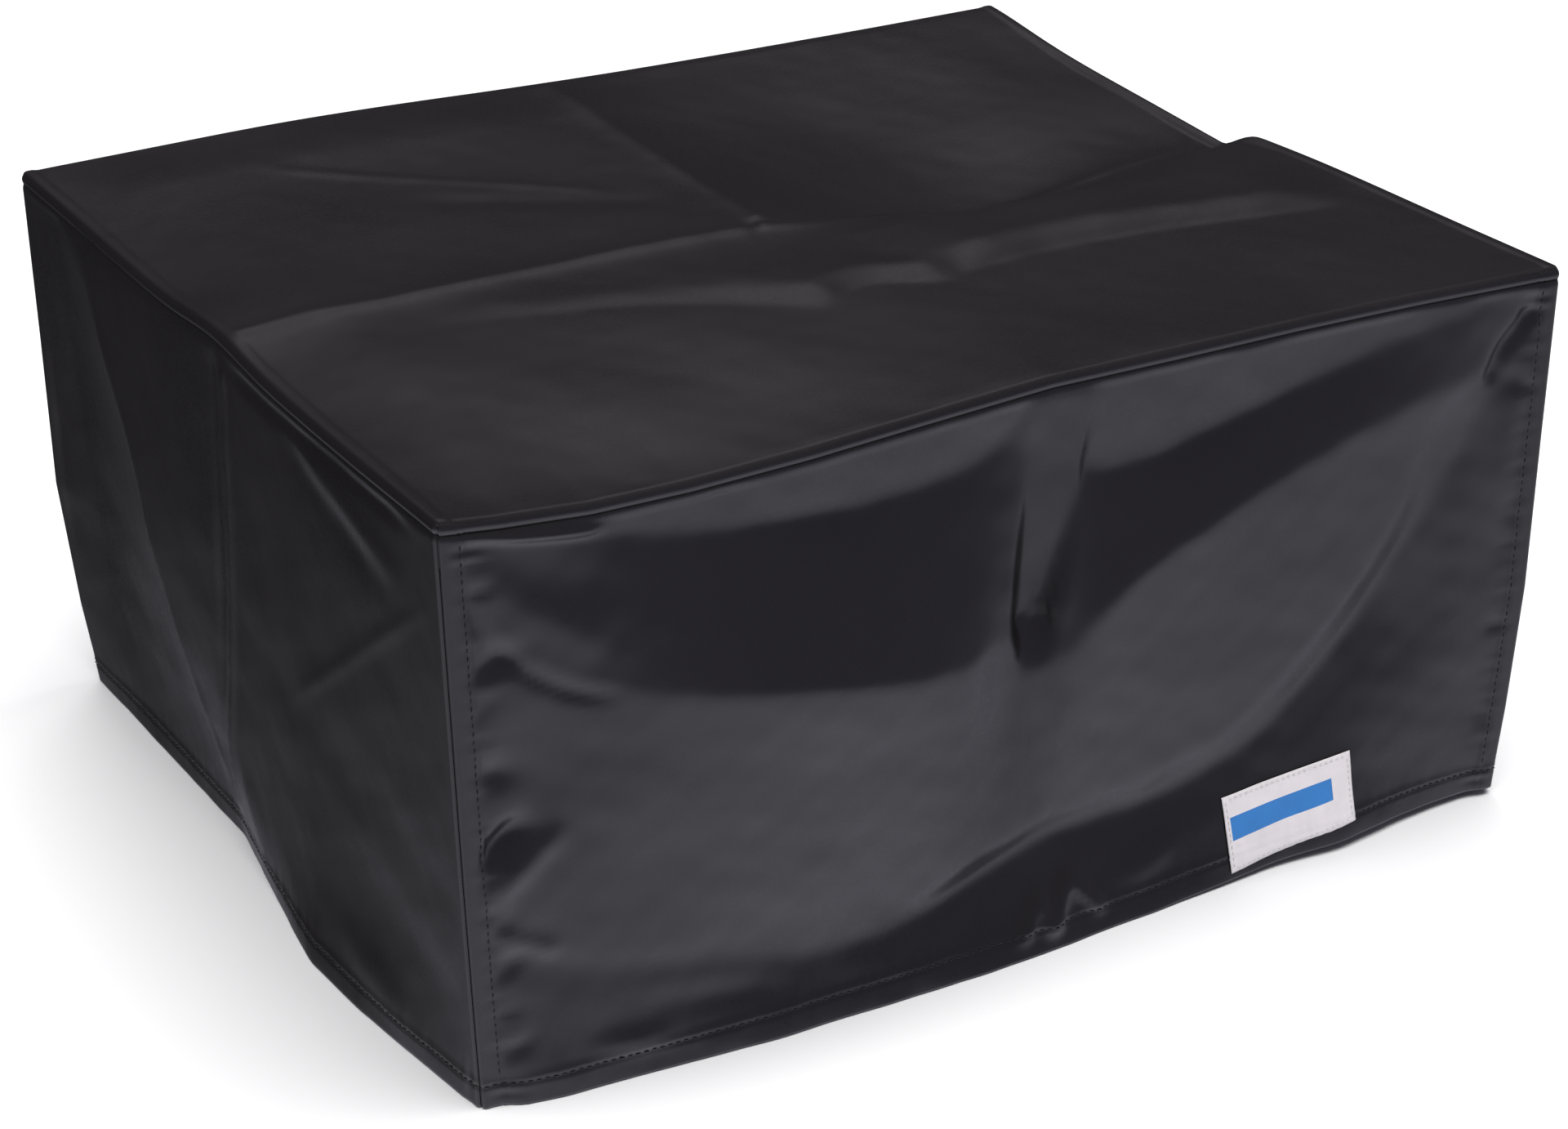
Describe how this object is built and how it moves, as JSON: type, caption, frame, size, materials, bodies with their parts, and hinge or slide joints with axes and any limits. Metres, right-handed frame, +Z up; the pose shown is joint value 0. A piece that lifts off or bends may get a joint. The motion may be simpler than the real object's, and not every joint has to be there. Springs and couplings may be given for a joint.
{
  "type": "printer dust cover",
  "caption": "Fitted dust cover for a desktop printer: coated nylon panels sewn into an open-bottomed box, with a turned-up hem and a sewn-on woven label.",
  "frame": {"origin": "middle of the hem, on the surface that the cover stands on", "axes": "+X to the right as seen from the front, -Y out of the front panel that has the label, +Z up through the top panel"},
  "size_m": [0.5, 0.4314, 0.244],
  "materials": {
    "nylon": "satin",
    "black_thread": "matte",
    "label_satin": "satin",
    "white_thread": "satin"
  },
  "bodies": {
    "root": {"top_panel": "nylon", "front_panel": "nylon", "back_panel": "nylon", "left_panel": "nylon", "right_panel": "nylon", "top_front_seam_stitching": "black_thread", "top_back_seam_stitching": "black_thread", "top_left_seam_stitching": "black_thread", "top_right_seam_stitching": "black_thread", "front_left_corner_seam_stitching": "black_thread", "front_left_corner_topstitching": "black_thread", "front_right_corner_seam_stitching": "black_thread", "front_right_corner_topstitching": "black_thread", "back_left_corner_seam_stitching": "black_thread", "back_left_corner_topstitching": "black_thread", "back_right_corner_seam_stitching": "black_thread", "back_right_corner_topstitching": "black_thread", "hem_stitching": "black_thread", "label": "label_satin", "label_stitching": "white_thread"}
  },
  "joints": []
}
